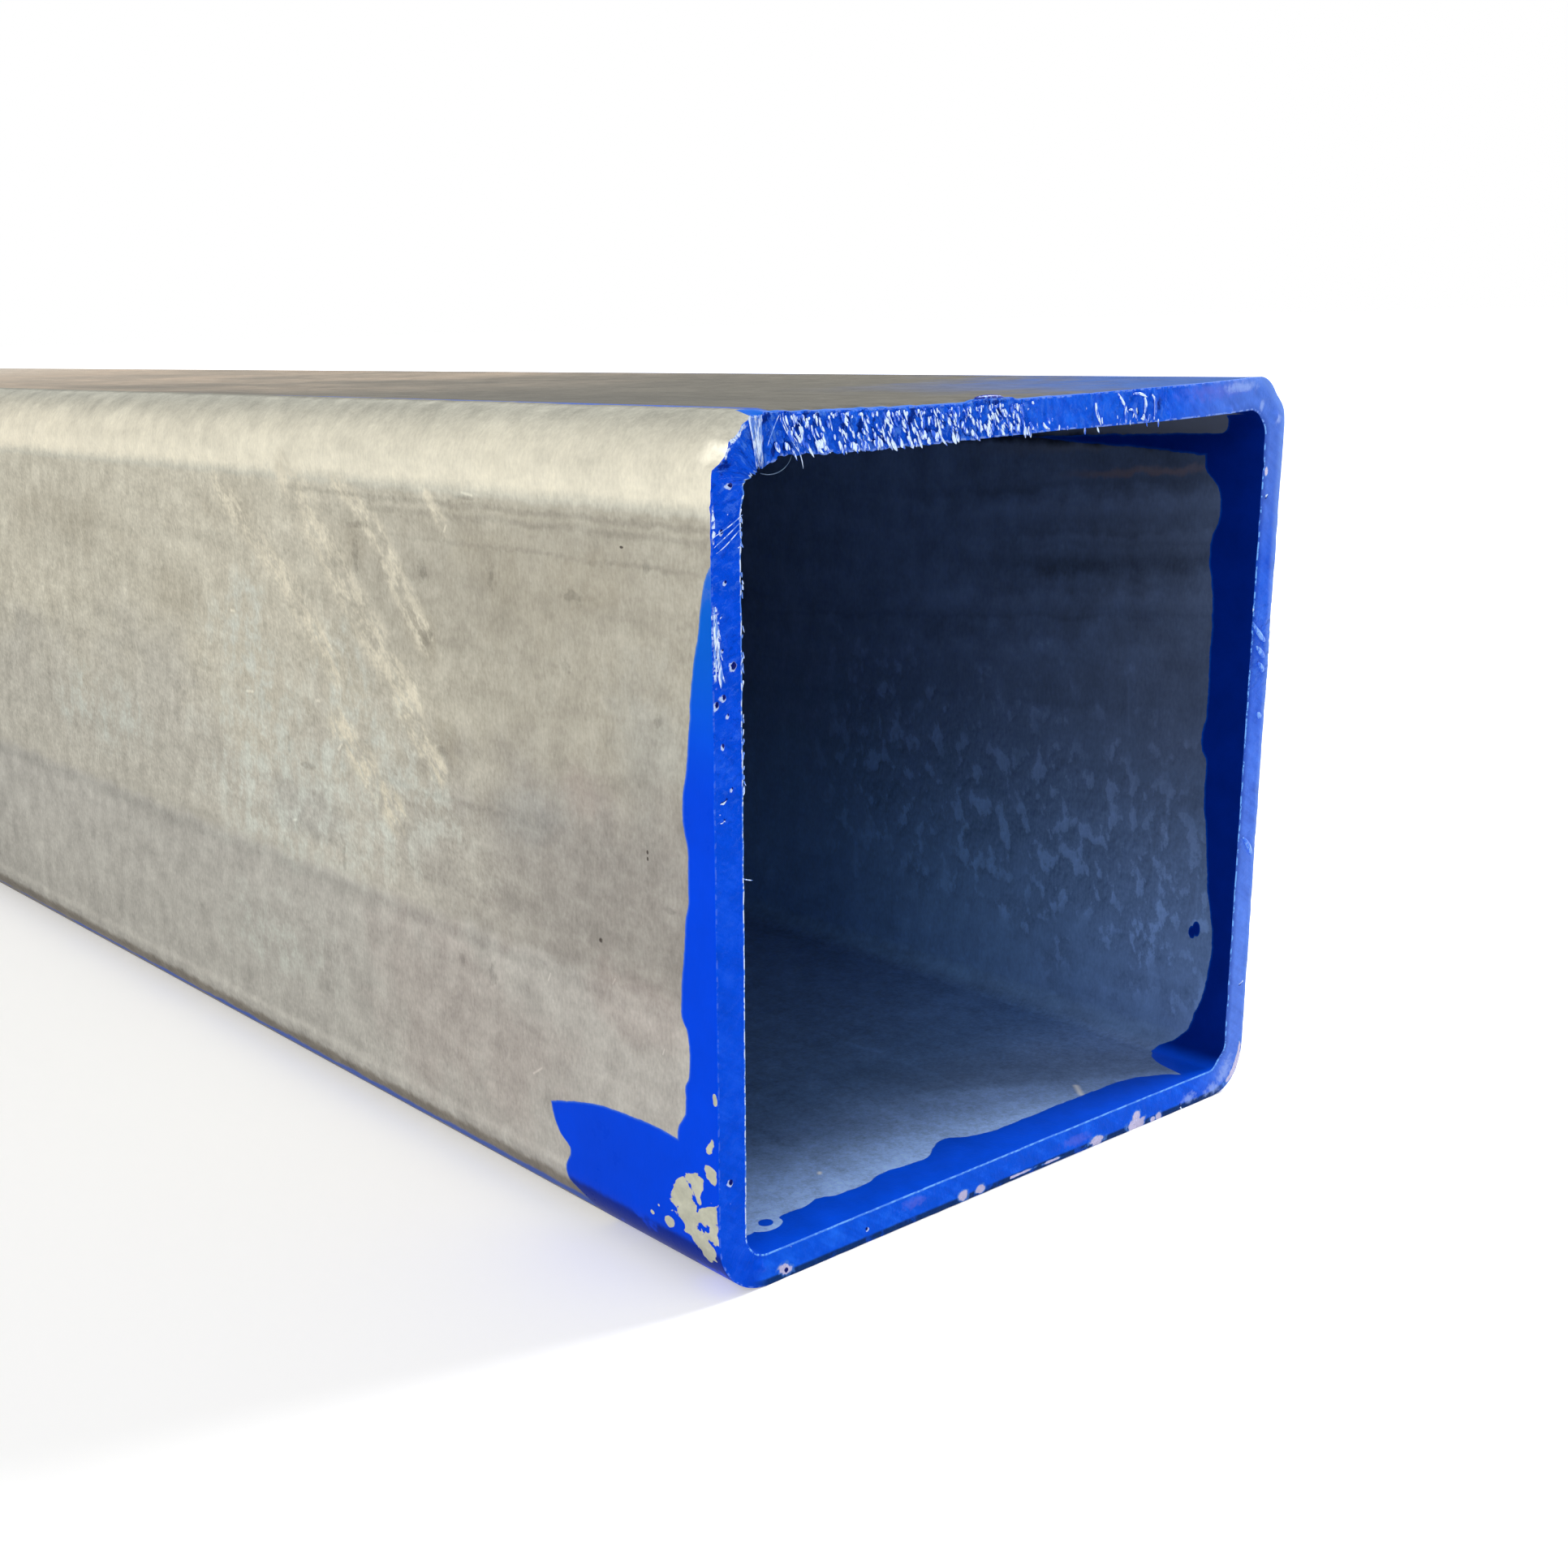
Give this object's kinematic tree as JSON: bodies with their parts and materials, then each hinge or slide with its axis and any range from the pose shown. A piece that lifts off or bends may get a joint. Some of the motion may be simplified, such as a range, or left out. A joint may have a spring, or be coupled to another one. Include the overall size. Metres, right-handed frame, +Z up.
{
  "type": "square metal tube",
  "caption": "Straight length of square steel tube with rounded corners and sawn ends, with blue stock paint on the marked end.",
  "frame": {"origin": "centre of the flat the tube lies on, half way along its length", "axes": "+Z up, +Y along the tube from the painted end to the plain one, +X across it"},
  "size_m": [0.0762, 0.6096, 0.0762],
  "materials": {
    "tube_steel": "satin mill finish with a worn band of blue paint at one end"
  },
  "bodies": {
    "root": {"square_tube": "tube_steel"}
  },
  "joints": []
}
